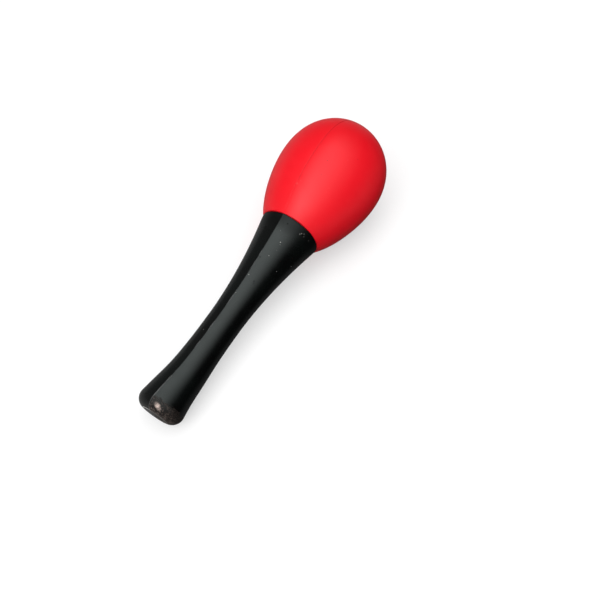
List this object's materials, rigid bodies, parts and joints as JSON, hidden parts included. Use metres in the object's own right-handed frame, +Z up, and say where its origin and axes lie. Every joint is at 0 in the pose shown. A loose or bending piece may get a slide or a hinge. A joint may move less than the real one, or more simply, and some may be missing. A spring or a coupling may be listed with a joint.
{
  "type": "egg shaker",
  "caption": "Hand percussion shaker: a hollow two-shell egg filled with loose shot, on a short hollow two-shell handle that flares at both ends.",
  "frame": {"origin": "on the surface that the shaker lies on, under the middle of its box", "axes": "+X from the handle's butt to the egg's crown along the surface, +Y to the shaker's left, +Z up. The shaker's own axis rises by 6.7 degrees towards the egg, in the XZ plane."},
  "size_m": [0.1422, 0.044, 0.0442],
  "materials": {
    "egg_plastic": "satin moulded red plastic with soft highlights and a fine dark parting groove",
    "handle_plastic": "semi-gloss moulded black plastic, with dust specks, light scratches and wear at the butt's corner",
    "shot_steel": "tumbled bright steel balls"
  },
  "bodies": {
    "shaker": {"egg_shell_left": "egg_plastic", "egg_shell_right": "egg_plastic", "handle_shell_left": "handle_plastic", "handle_shell_right": "handle_plastic"},
    "ball_01": {"shot_01": "shot_steel"},
    "ball_02": {"shot_02": "shot_steel"},
    "ball_03": {"shot_03": "shot_steel"},
    "ball_04": {"shot_04": "shot_steel"},
    "ball_05": {"shot_05": "shot_steel"},
    "ball_06": {"shot_06": "shot_steel"},
    "ball_07": {"shot_07": "shot_steel"},
    "ball_08": {"shot_08": "shot_steel"},
    "ball_09": {"shot_09": "shot_steel"},
    "ball_10": {"shot_10": "shot_steel"},
    "ball_11": {"shot_11": "shot_steel"},
    "ball_12": {"shot_12": "shot_steel"},
    "ball_13": {"shot_13": "shot_steel"},
    "ball_14": {"shot_14": "shot_steel"},
    "ball_15": {"shot_15": "shot_steel"},
    "ball_16": {"shot_16": "shot_steel"},
    "ball_17": {"shot_17": "shot_steel"},
    "ball_18": {"shot_18": "shot_steel"},
    "ball_19": {"shot_19": "shot_steel"},
    "ball_20": {"shot_20": "shot_steel"},
    "ball_21": {"shot_21": "shot_steel"},
    "ball_22": {"shot_22": "shot_steel"},
    "ball_23": {"shot_23": "shot_steel"},
    "ball_24": {"shot_24": "shot_steel"},
    "ball_25": {"shot_25": "shot_steel"},
    "ball_26": {"shot_26": "shot_steel"},
    "ball_27": {"shot_27": "shot_steel"}
  },
  "joints": [
    {"name": "shot_01_hop", "type": "slide", "parent": "shaker", "child": "ball_01", "axis": [0, 0, 1], "range_m": [0, 0.0342]},
    {"name": "shot_02_hop", "type": "slide", "parent": "shaker", "child": "ball_02", "axis": [0, 0, 1], "range_m": [0, 0.0345]},
    {"name": "shot_03_hop", "type": "slide", "parent": "shaker", "child": "ball_03", "axis": [0, 0, 1], "range_m": [0, 0.035]},
    {"name": "shot_04_hop", "type": "slide", "parent": "shaker", "child": "ball_04", "axis": [0, 0, 1], "range_m": [0, 0.0331]},
    {"name": "shot_05_hop", "type": "slide", "parent": "shaker", "child": "ball_05", "axis": [0, 0, 1], "range_m": [0, 0.0331]},
    {"name": "shot_06_hop", "type": "slide", "parent": "shaker", "child": "ball_06", "axis": [0, 0, 1], "range_m": [0, 0.0347]},
    {"name": "shot_07_hop", "type": "slide", "parent": "shaker", "child": "ball_07", "axis": [0, 0, 1], "range_m": [0, 0.0317]},
    {"name": "shot_08_hop", "type": "slide", "parent": "shaker", "child": "ball_08", "axis": [0, 0, 1], "range_m": [0, 0.0334]},
    {"name": "shot_09_hop", "type": "slide", "parent": "shaker", "child": "ball_09", "axis": [0, 0, 1], "range_m": [0, 0.0324]},
    {"name": "shot_10_hop", "type": "slide", "parent": "shaker", "child": "ball_10", "axis": [0, 0, 1], "range_m": [0, 0.0314]},
    {"name": "shot_11_hop", "type": "slide", "parent": "shaker", "child": "ball_11", "axis": [0, 0, 1], "range_m": [0, 0.0323]},
    {"name": "shot_12_hop", "type": "slide", "parent": "shaker", "child": "ball_12", "axis": [0, 0, 1], "range_m": [0, 0.0345]},
    {"name": "shot_13_hop", "type": "slide", "parent": "shaker", "child": "ball_13", "axis": [0, 0, 1], "range_m": [0, 0.0308]},
    {"name": "shot_14_hop", "type": "slide", "parent": "shaker", "child": "ball_14", "axis": [0, 0, 1], "range_m": [0, 0.0334]},
    {"name": "shot_15_hop", "type": "slide", "parent": "shaker", "child": "ball_15", "axis": [0, 0, 1], "range_m": [0, 0.0294]},
    {"name": "shot_16_hop", "type": "slide", "parent": "shaker", "child": "ball_16", "axis": [0, 0, 1], "range_m": [0, 0.0283]},
    {"name": "shot_17_hop", "type": "slide", "parent": "shaker", "child": "ball_17", "axis": [0, 0, 1], "range_m": [0, 0.0292]},
    {"name": "shot_18_hop", "type": "slide", "parent": "shaker", "child": "ball_18", "axis": [0, 0, 1], "range_m": [0, 0.0317]},
    {"name": "shot_19_hop", "type": "slide", "parent": "shaker", "child": "ball_19", "axis": [0, 0, 1], "range_m": [0, 0.0293]},
    {"name": "shot_20_hop", "type": "slide", "parent": "shaker", "child": "ball_20", "axis": [0, 0, 1], "range_m": [0, 0.0269]},
    {"name": "shot_21_hop", "type": "slide", "parent": "shaker", "child": "ball_21", "axis": [0, 0, 1], "range_m": [0, 0.032]},
    {"name": "shot_22_hop", "type": "slide", "parent": "shaker", "child": "ball_22", "axis": [0, 0, 1], "range_m": [0, 0.026]},
    {"name": "shot_23_hop", "type": "slide", "parent": "shaker", "child": "ball_23", "axis": [0, 0, 1], "range_m": [0, 0.0251]},
    {"name": "shot_24_hop", "type": "slide", "parent": "shaker", "child": "ball_24", "axis": [0, 0, 1], "range_m": [0, 0.0272]},
    {"name": "shot_25_hop", "type": "slide", "parent": "shaker", "child": "ball_25", "axis": [0, 0, 1], "range_m": [0, 0.0286]},
    {"name": "shot_26_hop", "type": "slide", "parent": "shaker", "child": "ball_26", "axis": [0, 0, 1], "range_m": [0, 0.0297]},
    {"name": "shot_27_hop", "type": "slide", "parent": "shaker", "child": "ball_27", "axis": [0, 0, 1], "range_m": [0, 0.0322]}
  ]
}
